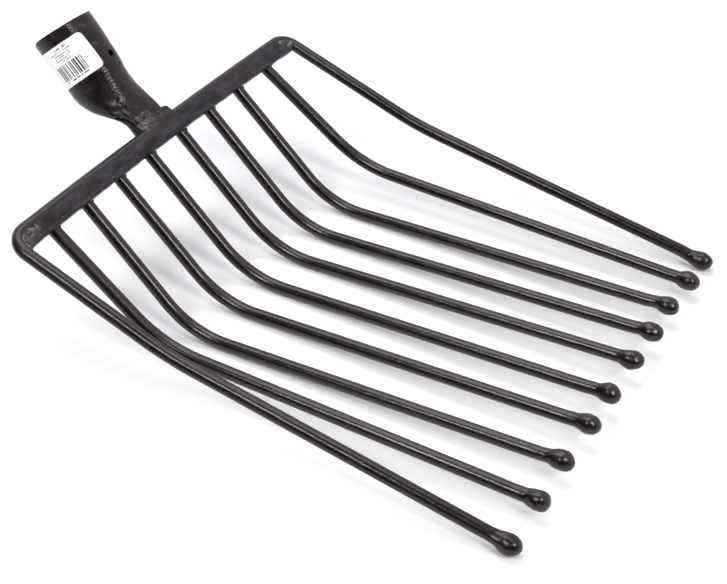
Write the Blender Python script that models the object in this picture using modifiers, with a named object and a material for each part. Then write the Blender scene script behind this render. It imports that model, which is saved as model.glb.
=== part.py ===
"""Ten-tine ball-tipped fork head: a steel scoop of ten round tines on a welded header, with an open
handle socket.  X runs along the header, +Y toward the ball tips, +Z up.  The pieces are built in
millimetres in the header frame, then set down on the floor at z = 0, centred in x and y, in metres."""
import math
from collections import namedtuple

import bmesh
import bpy
from mathutils import Matrix, Vector

# ---- driving dimensions (millimetres and degrees, in the header frame) ----
MM = 0.001
GAP = 0.30                       # clearance between neighbouring pieces

ROD_R = 4.0                      # round bar of every tine and of the frame rod
ROD_SIDES = 12

# Inner tines, from the middle outward, given on the +X side and mirrored to -X.
# weld_ahead moves the tine's weld collar further toward the tip.
Tine = namedtuple("Tine", "root bend bend_radius tip weld_ahead")
INNER_TINES = (
    Tine((17.05, 0, -0.33), (17.05, 87.1, -86.2), 64.5, (18.3, 341.0, -78.2), 0.0),
    Tine((50.10, 0, 0.00), (49.7, 87.5, -85.7), 61.2, (49.5, 341.5, -78.2), 0.0),
    Tine((83.70, 0, 0.67), (84.9, 88.6, -85.7), 60.0, (83.0, 339.8, -80.4), 0.0),
    Tine((117.30, 0, -0.33), (120.1, 93.4, -70.0), 81.0, (117.1, 341.4, -81.8), 0.3),
)
# The outermost tines are the two legs of the frame rod.
OUTER_X = 150.00                 # half spacing of the legs at the header
OUTER_BEND = (151.0, 121.4, -45.1)
OUTER_BEND_RADIUS = 210.8
OUTER_TIP = (150.5, 339.2, -86.2)

BALL_R = 6.5                     # ball end, largest radius
BALL_FRONT, BALL_BACK = 7.2, 9.3  # length of the ball ahead of and behind its widest point
BALL_NECK = 10.5                 # the swell leaves the plain bar this far behind the widest point

LEG_SLOPE = 20.4                 # slope of the frame rod's corners
HEADER_Y, HEADER_Z = 9.36, -3.49  # centre of the frame rod's back leg
HEADER_BOW = 1.7                 # the header arches back this much in the middle
CORNER_R = 12.5                  # centreline radius of the frame rod's two corners
CORNER_X = OUTER_X - CORNER_R    # where the corners begin

# The flat strip's edges, measured from the back leg's centre along its slope and square to it
STRIP_SLOPE = 33.0
STRIP_BACK, STRIP_FRONT = 4.6, 11.2
STRIP_FLARE = 0.5                # the strip is this much wider at its ends
STRIP_TOP, STRIP_BOTTOM = 4.0, -1.0
STRIP_EDGE = 0.6                 # bevel width

# Socket angles run round its axis, from its upper front side toward +X.
SOCKET_WALL = 2.3
SOCKET_SIDES = 44                # points in one ring
SEAM_DEG = 24.0                  # lapped seam
SEAM_OPEN = 0.4                  # the ring's ends stop this many degrees either side of the seam
SEAM_STEP = 1.2                  # height of the lap
LAP_SPREAD = 90                  # degrees over which the lap fades out round the socket
LAP_END, LAP_FADE = 82, 12       # the lap dies out at this distance, over this length
MOUTH_SKEW = 3.0                 # degrees the mouth is cut out of square
MOUTH_SKEW_X, MOUTH_SKEW_UP = -0.743, 0.669   # direction across the mouth in which the cut slopes
MOUTH_SKEW_LENGTH = 20           # the skew fades out over this length
# nominal distance from the mouth, centre y, centre z, axis slope, half width, half depth,
# superellipse exponent (2 is an ellipse, more is squarer)
SOCKET_STATIONS = (
    (0.0, -62.7, 50.4, 50.0, 20.8, 20.8, 2.0),
    (22.6, -48.2, 33.0, 50.0, 20.4, 20.4, 2.0),
    (36.0, -39.9, 22.2, 50.0, 20.3, 20.0, 2.0),
    (44.9, -34.9, 15.1, 49.0, 20.0, 18.8, 2.0),
    (52.0, -29.0, 10.9, 47.0, 19.4, 16.4, 2.05),
    (57.5, -23.7, 8.7, 44.0, 18.5, 13.9, 2.15),
    (62.5, -18.0, 7.4, 42.0, 17.3, 11.3, 2.3),
    (68.0, -11.8, 6.0, 42.0, 16.3, 8.4, 2.5),
    (74.0, -6.2, 4.2, 43.0, 15.9, 5.8, 2.8),
    (79.0, -2.0, 1.9, 45.0, 15.8, 4.2, 3.0),
    (84.5, 2.6, -2.2, 47.0, 15.8, 3.7, 3.2),
)
POCKET_END = 69.0                # the handle pocket closes here
# distances from the mouth of the rings on the outer and the inner surface
OUTER_RINGS = (0, 4, 9, 14, 19, 24, 29, 34, 39, 44, 48, 52, 56, 60, 64, 68, 72, 76, 80,
               SOCKET_STATIONS[-1][0])
INNER_RINGS = (0, 10, 20, 30, 38, 45, 50, 55, 60, 65, POCKET_END)

NAIL_HOLE_R = 2.6
NAIL_DIST, NAIL_DEG = 31.0, -12.0
NAIL_CUT_LENGTH = 12

STICKER_FROM, STICKER_TO = 7.6, 35.0
STICKER_DEG = (19.5, 146.0)
STICKER_THICK = 0.22
STICKER_ROWS, STICKER_COLUMNS = 8, 26
DRAPE_SPREAD = 16                # degrees over which the sticker slides down the seam's step

REST_TILT = 0.84                 # turn about X that brings the tines to rest on the floor


# ---- geometry helpers ----
def slope(degrees):
    """Unit vector down a slope toward the tips, and its upward normal."""
    angle = math.radians(degrees)
    sine, cosine = math.sin(angle), math.cos(angle)
    return Vector((0, cosine, -sine)), Vector((0, sine, cosine))


LEG_DIR = slope(LEG_SLOPE)[0]
STRIP_DIR, STRIP_UP = slope(STRIP_SLOPE)
HEADER = Vector((0, HEADER_Y, HEADER_Z))


def bow(x):
    """How far the header has come forward at x from its arched middle."""
    return HEADER_BOW * (x / OUTER_X) ** 2


def header_point(x, forward):
    return HEADER + Vector((x, 0, 0)) + LEG_DIR * forward


def strip_point(x, along, up):
    """A point beside the bowed back leg, measured along the strip's slope and square to it."""
    return header_point(x, bow(x)) + STRIP_DIR * along + STRIP_UP * up


def on_side(point, side):
    """A point given for +X, placed on the side +1 or -1."""
    x, y, z = point
    return Vector((side * x, y, z))


def fillet(start, corner, end, radius, steps):
    """Points from start to end, with an arc in place of the corner."""
    to_start = (start - corner).normalized()
    to_end = (end - corner).normalized()
    half_angle = to_start.angle(to_end) / 2
    cut = radius / math.tan(half_angle)
    centre = corner + (to_start + to_end).normalized() * (radius / math.sin(half_angle))
    first = (corner + to_start * cut - centre).normalized()
    last = (corner + to_end * cut - centre).normalized()
    sweep = first.angle(last)
    square = (last - first * first.dot(last)).normalized()
    arc = []
    for i in range(steps + 1):
        turn = sweep * i / steps
        arc.append(centre + (first * math.cos(turn) + square * math.sin(turn)) * radius)
    return [start] + arc + [end]


def ball_radius(ahead):
    """Radius of the bar's end, a distance ahead of (or, if negative, behind) the ball's centre."""
    length = BALL_FRONT if ahead >= 0 else BALL_BACK
    ball = BALL_R * math.sqrt(max(0.0, 1 - (ahead / length) ** 2))
    if ahead >= 0:
        return ball
    return (ROD_R ** 6 + ball ** 6) ** (1 / 6)    # blends smoothly into the bar


def with_ball(points):
    """Ends a centreline at a ball: returns points and radii."""
    tip = points[-1]
    axis = (tip - points[-2]).normalized()
    stations = [-BALL_NECK + (BALL_NECK - 0.8) * (i / 7) for i in range(8)]
    stations += [BALL_FRONT * math.sin(math.radians(angle)) for angle in (9, 24, 39, 54, 68, 80)]
    path = points[:-1]
    radii = [ROD_R] * len(path)
    for ahead in stations:
        path.append(tip + axis * ahead)
        radii.append(ball_radius(ahead))
    return path, radii


# ---- mesh and object helpers ----
def new_collection(name):
    collection = bpy.data.collections.new(name)
    bpy.context.scene.collection.children.link(collection)
    return collection


for old in list(bpy.data.objects):
    bpy.data.objects.remove(old, do_unlink=True)
PARTS = new_collection("ball_tipped_fork_head")
CUTTERS = new_collection("cutters")


def material(name, colour, roughness):
    mat = bpy.data.materials.new(name)
    mat.use_nodes = True
    shader = mat.node_tree.nodes["Principled BSDF"]
    shader.inputs["Base Color"].default_value = (*colour, 1)
    shader.inputs["Roughness"].default_value = roughness
    return mat


def finish(name, mesh, mat, collection=PARTS, smooth=True):
    """Merges doubled points, faces the normals outward and links the mesh as an object."""
    mesh.name = name
    bm = bmesh.new()
    bm.from_mesh(mesh)
    bmesh.ops.remove_doubles(bm, verts=bm.verts, dist=0.005)
    bmesh.ops.recalc_face_normals(bm, faces=bm.faces)
    for face in bm.faces:
        face.smooth = smooth and len(face.verts) <= 4    # end caps stay flat
    bm.to_mesh(mesh)
    bm.free()
    mesh.materials.clear()
    if mat:
        mesh.materials.append(mat)
    obj = bpy.data.objects.new(name, mesh)
    collection.objects.link(obj)
    return obj


def temporary_object(name, data):
    obj = bpy.data.objects.new(name, data)
    bpy.context.scene.collection.objects.link(obj)
    return obj


def evaluated_mesh(obj):
    """The object's final shape as a plain mesh in the header frame; the object is removed."""
    bpy.context.view_layer.update()
    depsgraph = bpy.context.evaluated_depsgraph_get()
    mesh = bpy.data.meshes.new_from_object(obj.evaluated_get(depsgraph))
    mesh.transform(obj.matrix_world)
    data = obj.data
    bpy.data.objects.remove(obj, do_unlink=True)
    if isinstance(data, bpy.types.Curve):
        bpy.data.curves.remove(data)
    return mesh


def new_mesh(name, verts, faces):
    mesh = bpy.data.meshes.new(name)
    mesh.from_pydata([tuple(vert) for vert in verts], [], faces)
    return mesh


def poly_curve(name, dimensions, points):
    """A curve with one straight-sided spline; returns both."""
    curve = bpy.data.curves.new(name, "CURVE")
    curve.dimensions = dimensions
    spline = curve.splines.new("POLY")
    spline.points.add(len(points) - 1)
    for point, place in zip(spline.points, points):
        point.co = (*place, 1)
    return curve, spline


def tube(name, path, radii, mat, sides):
    """A closed round bar along a path, with its own radius at each point."""
    curve, spline = poly_curve(name + "_path", "3D", path)
    curve.bevel_depth = 1.0
    curve.bevel_resolution = sides // 2 - 2
    curve.use_fill_caps = True
    for point, radius in zip(spline.points, radii):
        point.radius = radius
    finish(name, evaluated_mesh(temporary_object(name + "_path", curve)), mat)


def wall_faces(rings, count, base=0, inward=False):
    """Quads joining successive rings of count points, the first ring starting at vertex base."""
    faces = []
    for k in range(rings - 1):
        near = base + k * count
        far = near + count
        for i in range(count):
            j = (i + 1) % count
            quad = (near + i, near + j, far + j, far + i)
            faces.append(quad[:1] + quad[:0:-1] if inward else quad)
    return faces


def ring_face(first, count):
    return tuple(range(first, first + count))


# ---- materials ----
BLACK = material("black_paint", colour=(0.018, 0.017, 0.020), roughness=0.32)
BLACK_FLAT = material("black_paint_header", colour=(0.030, 0.030, 0.034), roughness=0.45)
WELD = material("painted_weld", colour=(0.035, 0.030, 0.026), roughness=0.38)
SHEET = material("black_paint_socket", colour=(0.028, 0.026, 0.030), roughness=0.36)
PAPER = material("white_paper", colour=(0.88, 0.88, 0.87), roughness=0.55)


# ---- frame rod: outermost tines and the back leg of the header in one bent bar ----
def frame_rod():
    half = []
    for i in range(6):
        x = CORNER_X * i / 5
        half.append(header_point(x, bow(x)))
    for i in range(1, 8):
        turn = math.pi / 2 * i / 7
        half.append(header_point(CORNER_X + CORNER_R * math.sin(turn),
                                 bow(CORNER_X) + CORNER_R * (1 - math.cos(turn))))
    half += fillet(half[-1], Vector(OUTER_BEND), Vector(OUTER_TIP), OUTER_BEND_RADIUS, 7)[1:]
    path, radii = with_ball(half)
    mirrored = [on_side(point, -1) for point in path[:0:-1]]
    tube("frame_rod", mirrored + path, radii[:0:-1] + radii, BLACK, ROD_SIDES)


# ---- flat strip in front of the back leg, inside the frame rod ----
def strip_outline():
    """Closed outline as (x, distance along the strip's slope)."""
    corner = CORNER_R - ROD_R + 0.5
    end = OUTER_X - ROD_R - 0.4
    corner_x = end - corner
    corner_along = STRIP_BACK + bow(corner_x) + corner
    front_end = STRIP_FRONT + STRIP_FLARE + bow(end)
    last_turn = math.acos((corner_along - front_end) / corner)
    steps = 12
    half = []
    for i in range(steps + 1):
        x = corner_x * i / steps
        half.append((x, STRIP_BACK + bow(x)))
    for i in range(1, 8):
        turn = last_turn * i / 7
        half.append((corner_x + corner * math.sin(turn), corner_along - corner * math.cos(turn)))
    for i in range(steps, -1, -1):
        x = (end - 1.0) * i / steps
        half.append((x, STRIP_FRONT + STRIP_FLARE * (x / end) ** 2 + bow(x)))
    return half[:-1] + [(-x, along) for x, along in half[:0:-1]]


def cross_strip():
    points = [(x, along, 0) for x, along in strip_outline()]
    curve, spline = poly_curve("strip_outline", "2D", points)
    curve.fill_mode = "BOTH"
    curve.extrude = (STRIP_TOP - STRIP_BOTTOM) / 2
    spline.use_cyclic_u = True
    flat = temporary_object("strip_outline", curve)
    middle = HEADER + STRIP_UP * ((STRIP_TOP + STRIP_BOTTOM) / 2)
    flat.matrix_world = Matrix(((1, 0, 0, middle.x),
                                (0, STRIP_DIR.y, STRIP_UP.y, middle.y),
                                (0, STRIP_DIR.z, STRIP_UP.z, middle.z),
                                (0, 0, 0, 1)))
    body = finish("cross_strip", evaluated_mesh(flat), BLACK_FLAT, smooth=False)
    bevel = body.modifiers.new("edge", "BEVEL")
    bevel.width = STRIP_EDGE
    bevel.segments = 2
    bevel.limit_method = "ANGLE"
    bevel.angle_limit = math.radians(50)
    finish("cross_strip", evaluated_mesh(body), BLACK_FLAT, smooth=False)


# ---- weld that fills the groove between back leg and strip ----
def strip_weld():
    reach = ROD_R + GAP
    side = STRIP_BACK - GAP
    section = [(side, STRIP_TOP + 0.15), (side, 2.3)]
    for degrees in (32, 42, 52, 62, 72, 82):
        angle = math.radians(degrees)
        section.append((reach * math.cos(angle), reach * math.sin(angle)))
    section.append((reach * math.cos(math.radians(83)), STRIP_TOP + 0.5))
    end = CORNER_X - 1.5
    rings = 25
    verts = []
    for i in range(rings):
        x = -end + 2 * end * i / (rings - 1)
        verts += [strip_point(x, along, up) for along, up in section]
    count = len(section)
    faces = [ring_face(0, count)[::-1], ring_face((rings - 1) * count, count)]
    faces += wall_faces(rings, count)
    finish("strip_weld", new_mesh("strip_weld", verts, faces), WELD, smooth=False)


# ---- inner tines: each starts under the strip or ahead of it, and ends in a ball ----
def tine_line(tine, side):
    """Root, bend and the direction between them."""
    root = on_side(tine.root, side)
    bend = on_side(tine.bend, side)
    return root, bend, (bend - root).normalized()


def tine_start(tine):
    """Distance from the root at which the tine's end clears the strip and the back leg."""
    root, _, direction = tine_line(tine, 1)
    rise = direction.dot(STRIP_UP)
    start = 12.0
    while True:
        place = root + direction * start - HEADER
        along = place.dot(STRIP_DIR) - bow(tine.root[0])
        top_along = along - ROD_R * rise
        top_up = place.dot(STRIP_UP) + ROD_R * direction.dot(STRIP_DIR)
        clears_leg = math.hypot(top_along, top_up) > ROD_R + 0.5
        under = top_up < STRIP_BOTTOM - GAP
        ahead = along - ROD_R * abs(rise) > STRIP_FRONT + STRIP_FLARE + GAP
        if clears_leg and (under or ahead):
            return start
        start += 0.05


def inner_tine(number, tine, side):
    root, bend, direction = tine_line(tine, side)
    start = root + direction * tine_start(tine)
    path, radii = with_ball(fillet(start, bend, on_side(tine.tip, side), tine.bend_radius, 9))
    tube("tine_%d" % number, path, radii, BLACK, ROD_SIDES)


TINE_WELD_R = 1.3


def tine_weld(number, tine, side):
    """A half collar of weld over the tine, against the strip's front face."""
    root, _, direction = tine_line(tine, side)
    slant = direction.dot(STRIP_DIR)
    along = STRIP_FRONT + STRIP_FLARE + bow(tine.root[0]) + GAP + TINE_WELD_R + tine.weld_ahead
    distance = (along + HEADER.dot(STRIP_DIR) - root.dot(STRIP_DIR)) / slant
    centre = root + direction * distance
    reach = ROD_R + GAP + TINE_WELD_R
    rise = reach / slant
    path, radii = [], []
    for i in range(13):
        turn = math.radians(-78 + 156 * i / 12)
        path.append(centre + Vector((reach * math.sin(turn), 0, 0))
                    + STRIP_UP * (rise * math.cos(turn)))
        radii.append(TINE_WELD_R * (0.55 + 0.45 * math.cos(turn * 0.9)))
    tube("tine_weld_%d" % number, path, radii, WELD, sides=8)


def each_inner_tine(build):
    """Tines are numbered 1 to 10 from -X to +X; 1 and 10 belong to the frame rod."""
    for pair, tine in enumerate(INNER_TINES):
        build(5 - pair, tine, -1)
        build(6 + pair, tine, 1)


# ---- short beads over the joints between the strip's ends and the frame rod's corners ----
CORNER_WELD_R = 1.0


def corner_weld(name, side):
    forward = bow(CORNER_X)
    slope_between = math.radians(STRIP_SLOPE - LEG_SLOPE)
    path, radii = [], []
    for i in range(9):
        turn = math.radians(6 + 74 * i / 8)
        # the rod's plane is flatter than the strip's, so the rod rises above it round the corner
        rod_up = (CORNER_R * (1 - math.cos(turn)) + forward) * math.sin(slope_between)
        up = max(STRIP_TOP + GAP + CORNER_WELD_R, rod_up + 0.5)
        above_rod = min(up - rod_up, ROD_R + 0.9)
        beside_rod = math.sqrt((ROD_R + GAP + CORNER_WELD_R) ** 2 - above_rod ** 2)
        reach = CORNER_R - beside_rod - 0.2
        x = CORNER_X + reach * math.sin(turn)
        along = forward + CORNER_R - reach * math.cos(turn)
        path.append(HEADER + Vector((side * x, 0, 0)) + STRIP_DIR * along + STRIP_UP * (up + 0.1))
        radii.append(CORNER_WELD_R * (0.8 + 0.2 * math.cos(i * 2.4)))
    tube(name, path, radii, WELD, sides=8)


# ---- socket surface ----
def station(distance):
    """The socket's station values at a distance from the mouth, by cubic interpolation."""
    rows = SOCKET_STATIONS
    k = max(i for i in range(len(rows)) if rows[i][0] <= distance + 1e-9)
    k = min(k, len(rows) - 2)
    before, here, after = rows[max(k - 1, 0)], rows[k], rows[k + 1]
    beyond = rows[min(k + 2, len(rows) - 1)]
    span = after[0] - here[0]
    u = (distance - here[0]) / span
    values = []
    for j in range(1, 7):
        slope_here = (after[j] - before[j]) / (after[0] - before[0]) * span
        slope_after = (beyond[j] - here[j]) / (beyond[0] - here[0]) * span
        values.append((2 * u ** 3 - 3 * u ** 2 + 1) * here[j]
                      + (u ** 3 - 2 * u ** 2 + u) * slope_here
                      + (-2 * u ** 3 + 3 * u ** 2) * after[j]
                      + (u ** 3 - u ** 2) * slope_after)
    return values


def lap(degrees):
    """Share of the seam's step at an angle: full at the seam's upper flap, then fading."""
    turn = (SEAM_DEG - degrees) % 360
    return max(0.0, 1 - turn / LAP_SPREAD)


def drape(degrees):
    """The same, but sliding smoothly down the step, for the sticker."""
    turn = (degrees - SEAM_DEG + 180) % 360 - 180
    if turn <= 0:
        return lap(degrees)
    u = min(1.0, turn / DRAPE_SPREAD)
    return 1 - u * u * (3 - 2 * u)


def power_arc(value, exponent):
    """A sine or cosine bent to the superellipse's exponent."""
    return math.copysign(abs(value) ** (2 / exponent), value)


def socket_point(distance, degrees, out=0.0, proud=lap):
    """A point on the socket's outside, moved outward by out (negative is inward)."""
    y, z, tilt, half_width, half_depth, exponent = station(distance)
    down, up = slope(tilt)
    angle = math.radians(degrees)
    extra = out
    if out > -SOCKET_WALL + 0.01:    # the inner surface has no lap
        fade = max(0.0, min(1.0, (LAP_END - distance) / LAP_FADE))
        extra += SEAM_STEP * proud(degrees) * fade
    across = power_arc(math.sin(angle), exponent) * (half_width + extra)
    rise = power_arc(math.cos(angle), exponent) * (half_depth + extra)
    skew = (max(0.0, 1 - distance / MOUTH_SKEW_LENGTH) * math.tan(math.radians(MOUTH_SKEW))
            * (across * MOUTH_SKEW_X + rise * MOUTH_SKEW_UP))
    return Vector((0, y, z)) + Vector((across, 0, 0)) + up * rise + down * skew


def socket_ring(distance, out):
    """One ring round the socket, from seam to seam so that the lap makes a clean step."""
    sweep = 360 - 2 * SEAM_OPEN
    return [socket_point(distance, SEAM_DEG - SEAM_OPEN - sweep * i / (SOCKET_SIDES - 1), out)
            for i in range(SOCKET_SIDES)]


# ---- rolled sheet socket, open at the mouth and pinched flat at the neck ----
def socket_shell():
    verts = []
    for distance in OUTER_RINGS:
        verts += socket_ring(distance, 0.0)
    for distance in INNER_RINGS:
        verts += socket_ring(distance, -SOCKET_WALL)
    count = SOCKET_SIDES
    base = len(OUTER_RINGS) * count
    faces = wall_faces(len(OUTER_RINGS), count)
    faces += wall_faces(len(INNER_RINGS), count, base, inward=True)
    for i in range(count):    # rim of the mouth
        j = (i + 1) % count
        faces.append((i, base + i, base + j, j))
    faces.append(ring_face(base - count, count))
    faces.append(ring_face(base + (len(INNER_RINGS) - 1) * count, count)[::-1])
    return finish("socket", new_mesh("socket", verts, faces), SHEET)


def nail_hole_cutter():
    """A round bar square through the socket's upper wall."""
    place = socket_point(NAIL_DIST, NAIL_DEG)
    inward = (socket_point(NAIL_DIST, NAIL_DEG, -SOCKET_WALL) - place).normalized()
    bm = bmesh.new()
    bmesh.ops.create_cone(bm, cap_ends=True, segments=20, radius1=NAIL_HOLE_R,
                          radius2=NAIL_HOLE_R, depth=NAIL_CUT_LENGTH)
    mesh = bpy.data.meshes.new("nail_hole_cutter")
    bm.to_mesh(mesh)
    bm.free()
    turn = Vector((0, 0, 1)).rotation_difference(inward).to_matrix().to_4x4()
    mesh.transform(Matrix.Translation(place) @ turn)
    cutter = finish("nail_hole_cutter", mesh, None, CUTTERS, smooth=False)
    cutter.hide_render = True
    cutter.display_type = "WIRE"
    return cutter


def socket():
    body = socket_shell()
    cut = body.modifiers.new("nail_hole", "BOOLEAN")
    cut.operation = "DIFFERENCE"
    cut.solver = "EXACT"
    cut.object = nail_hole_cutter()
    finish("socket", evaluated_mesh(body), SHEET)


# ---- weld along the lower part of the socket's seam ----
SEAM_WELD_FROM, SEAM_WELD_TO = 36.8, 66.0
SEAM_WELD_R = 1.0
SEAM_WELD_TURN = 5.5             # degrees past the seam, beside the step
SEAM_WELD_LAP = 0.25             # share of the seam's step that the weld rides on


def socket_seam_weld():
    path, radii = [], []
    for i in range(22):
        distance = SEAM_WELD_FROM + (SEAM_WELD_TO - SEAM_WELD_FROM) * i / 21
        path.append(socket_point(distance, SEAM_DEG + SEAM_WELD_TURN, GAP + SEAM_WELD_R + 0.1,
                                 proud=lambda degrees: SEAM_WELD_LAP))
        radii.append(SEAM_WELD_R * (0.82 + 0.18 * math.sin(i * 1.9)))
    tube("socket_seam_weld", path, radii, WELD, sides=8)


# ---- weld passes across the header at the flattened neck, three above and one below ----
# name, distance along the strip's slope, height square to it, radius, first x, last x
NECK_WELDS = (
    ("neck_weld_back", -5.2, 4.3, 1.9, -20.0, 15.0),
    ("neck_weld_mid", -0.9, 6.75, 1.8, -22.0, 14.0),
    ("neck_weld_front", 3.4, 6.4, 1.7, -23.5, 13.0),
    ("neck_weld_under", -1.5, -6.7, 1.9, -13.0, 13.0),
)


def neck_weld(name, along, up, radius, first_x, last_x):
    path, radii = [], []
    for i in range(17):
        path.append(strip_point(first_x + (last_x - first_x) * i / 16, along, up))
        from_middle = abs(2 * i / 16 - 1)
        ripple = 0.9 + 0.1 * math.sin(i * 2.2)
        radii.append(radius * ripple * math.sqrt(max(0.12, 1 - from_middle ** 6)))
    tube(name, path, radii, WELD, sides=10)


# ---- paper label wrapped round the socket, just clear of the sheet ----
def sticker():
    verts = []
    for i in range(STICKER_ROWS + 1):
        distance = STICKER_FROM + (STICKER_TO - STICKER_FROM) * i / STICKER_ROWS
        for j in range(STICKER_COLUMNS + 1):
            degrees = STICKER_DEG[0] + (STICKER_DEG[1] - STICKER_DEG[0]) * j / STICKER_COLUMNS
            verts.append(socket_point(distance, degrees, GAP + 0.05, proud=drape))
    # wound so that the normals, and with them the thickness, point away from the socket
    row = STICKER_COLUMNS + 1
    faces = []
    for i in range(STICKER_ROWS):
        for j in range(STICKER_COLUMNS):
            k = i * row + j
            faces.append((k, k + 1, k + row + 1, k + row))
    paper = temporary_object("sticker_sheet", new_mesh("sticker", verts, faces))
    solidify = paper.modifiers.new("thickness", "SOLIDIFY")
    solidify.thickness = STICKER_THICK
    solidify.offset = 1.0
    finish("sticker", evaluated_mesh(paper), PAPER)


# ---- set everything down on the floor, centred on the origin, and go to metres ----
def set_down():
    objects = list(PARTS.objects) + list(CUTTERS.objects)
    turn = Matrix.Rotation(math.radians(REST_TILT), 4, "X")
    for obj in objects:
        obj.data.transform(turn)
    places = [vert.co for obj in PARTS.objects for vert in obj.data.vertices]
    low = [min(place[k] for place in places) for k in range(3)]
    high = [max(place[k] for place in places) for k in range(3)]
    shift = Matrix.Translation((-(low[0] + high[0]) / 2, -(low[1] + high[1]) / 2, -low[2]))
    for obj in objects:
        obj.data.transform(Matrix.Scale(MM, 4) @ shift)
        obj.data.update()


frame_rod()
cross_strip()
strip_weld()
each_inner_tine(inner_tine)
each_inner_tine(tine_weld)
corner_weld("corner_weld_right", -1)
corner_weld("corner_weld_left", 1)
socket()
socket_seam_weld()
for neck_pass in NECK_WELDS:
    neck_weld(*neck_pass)
sticker()
set_down()
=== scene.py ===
"""A hand cultivator head: ten round tines on a header, and a rolled socket for a handle.

Pieces are drawn in millimetres in the header's own frame: X runs along the header, the tines
reach toward +Y and curve down, and the socket climbs toward -Y and +Z. WORLD turns that frame to
its resting pose, in metres. "Front" means toward +Y, "back" toward -Y. Side +1 is +X, -1 is -X.
"""
import math
from collections import namedtuple
from itertools import accumulate

import bmesh
import bpy
from mathutils import Matrix, Vector, noise


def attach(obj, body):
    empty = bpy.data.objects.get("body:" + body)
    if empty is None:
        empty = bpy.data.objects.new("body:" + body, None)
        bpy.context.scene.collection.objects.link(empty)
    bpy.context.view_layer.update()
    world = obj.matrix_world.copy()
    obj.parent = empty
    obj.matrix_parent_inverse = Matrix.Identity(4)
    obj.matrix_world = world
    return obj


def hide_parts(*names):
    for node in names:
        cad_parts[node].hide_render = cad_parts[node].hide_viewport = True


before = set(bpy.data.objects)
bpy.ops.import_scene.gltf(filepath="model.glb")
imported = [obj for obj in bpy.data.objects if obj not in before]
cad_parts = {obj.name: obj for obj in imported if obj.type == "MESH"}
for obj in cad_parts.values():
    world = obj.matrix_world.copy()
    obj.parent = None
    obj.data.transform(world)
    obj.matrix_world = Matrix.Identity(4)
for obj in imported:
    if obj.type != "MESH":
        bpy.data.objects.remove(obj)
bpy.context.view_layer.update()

# ---------------------------------------------------------------- dimensions, mm and degrees
ROD_R = 4.15

# inner tine pairs, +X side: root, corner of the bend, bend radius, centre of the ball end
INNER_TINES = (
    ((17.05, 0, -0.33), (17.05, 87.1, -86.2), 64.5, (18.3, 341.0, -78.2)),
    ((50.10, 0, 0.00), (49.7, 87.5, -85.7), 61.2, (49.5, 341.5, -78.2)),
    ((83.70, 0, 0.67), (84.9, 88.6, -85.7), 60.0, (83.0, 339.8, -80.4)),
    ((117.30, 0, -0.33), (120.1, 93.4, -70.0), 81.0, (117.1, 341.4, -81.8)),
)
# the outer tines are the two ends of the bent frame rod
OUTER_X = 150.0
OUTER_BEND = (151.0, 121.4, -45.1)
OUTER_BEND_RADIUS = 210.8
OUTER_TIP = (150.5, 339.2, -86.2)
CORNER_R = {1: 14.0, -1: 11.0}          # frame rod's corner radius on each side

LEG_SLOPE, STRIP_SLOPE = 20.4, 33.0     # how steeply each falls toward the front
HEADER = Vector((0, 9.36, -3.49))       # rod centre at the middle of the header
HEADER_BOW = 1.7                        # how far the header's ends come forward

# strip outline, measured from the rod centre along and across the strip's slope
STRIP_BACK, STRIP_FRONT = 4.6, 11.2
STRIP_FLARE, STRIP_FLARE_X = 0.5, 145.6     # extra depth in front, and the x where it is reached
STRIP_TOP, STRIP_BOTTOM = 4.0, -1.0

REST_TILT = 0.84
REST_SHIFT = Vector((0, -135.058792, 87.735970))
WORLD = (Matrix.Scale(0.001, 4) @ Matrix.Translation(REST_SHIFT)
         @ Matrix.Rotation(math.radians(REST_TILT), 4, "X"))
UP = Vector((0, 0, 1))


def slope(deg):
    """Direction forward down a slope, and the direction square to it, upward."""
    a = math.radians(deg)
    return Vector((0, math.cos(a), -math.sin(a))), Vector((0, math.sin(a), math.cos(a)))


LEG_DIR = slope(LEG_SLOPE)[0]
STRIP_DIR, STRIP_UP = slope(STRIP_SLOPE)


def bow(x):
    return HEADER_BOW * (x / OUTER_X) ** 2


def header_point(x, ahead, height):
    """A point given along X, along the strip's slope and square to it."""
    return HEADER + Vector((x, 0, 0)) + STRIP_DIR * ahead + STRIP_UP * height


def strip_point(x, ahead, height):
    """The same, but following the header's bow."""
    return header_point(x, ahead + bow(x), height)


def strip_front(x):
    return STRIP_FRONT + STRIP_FLARE * (x / STRIP_FLARE_X) ** 2 + bow(x)


def on_side(point, side):
    x, y, z = point
    return Vector((side * x, y, z))


def noise_at(x, y, z):
    return noise.noise(Vector((x, y, z)))


def smooth(t):
    t = max(0.0, min(1.0, t))
    return t * t * (3 - 2 * t)


def bell(offset, width):
    return math.exp(-(offset / width) ** 2)


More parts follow.
